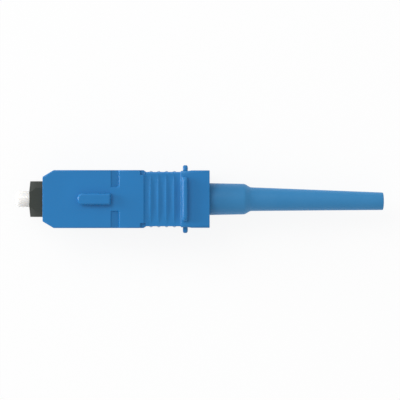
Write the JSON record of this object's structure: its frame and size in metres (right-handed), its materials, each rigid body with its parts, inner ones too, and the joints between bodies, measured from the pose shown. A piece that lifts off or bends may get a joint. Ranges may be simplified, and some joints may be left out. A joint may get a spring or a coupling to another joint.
{
  "type": "sc fibre connector",
  "caption": "Field-fit SC push-pull fibre plug: ceramic ferrule, black plug frame, keyed blue grip with finger flange, cam-locked splice inside and a long tapered boot.",
  "frame": {"origin": "centre of the ferrule's polished end face, on the optical axis", "axes": "+X along the optical axis from the ferrule tip towards the boot and cable, +Z towards the key, +Y completes the right-handed frame across the wide faces"},
  "size_m": [0.0577, 0.0106, 0.0092],
  "materials": {
    "grip_blue": "satin moulded",
    "frame_black": "satin moulded",
    "zirconia": "polished",
    "fibre_glass": "polished",
    "holder_white": "satin moulded",
    "splice_clear": "satin moulded",
    "cam_black": "satin moulded",
    "spring_steel": "drawn wire",
    "lead_in_white": "satin moulded",
    "crimp_brass": "turned",
    "boot_blue": "soft satin"
  },
  "bodies": {
    "frame_body": {"plug_frame": "frame_black", "spring_retainer": "frame_black", "boot": "boot_blue", "spring": "spring_steel"},
    "grip_body": {"grip": "grip_blue"},
    "ferrule_carrier": {"ferrule": "zirconia", "fibre_stub": "fibre_glass", "ferrule_holder": "holder_white", "splice_base": "splice_clear", "splice_cover": "splice_clear", "lead_in_tube": "lead_in_white", "crimp_tube": "crimp_brass"},
    "cam_body": {"cam_sleeve": "cam_black"}
  },
  "joints": [
    {"name": "grip_slide", "type": "slide", "parent": "frame_body", "child": "grip_body", "axis": [1, 0, 0], "range_m": [0, 0.0012]},
    {"name": "ferrule_slide", "type": "slide", "parent": "frame_body", "child": "ferrule_carrier", "axis": [1, 0, 0], "range_m": [0, 0.001], "stiffness_N_per_m": 2500, "deforming": ["spring"]},
    {"name": "cam_turn", "type": "hinge", "parent": "ferrule_carrier", "child": "cam_body", "pos_m": [0.0272, 0, 0], "axis": [1, 0, 0], "range_deg": [0, 90]}
  ]
}
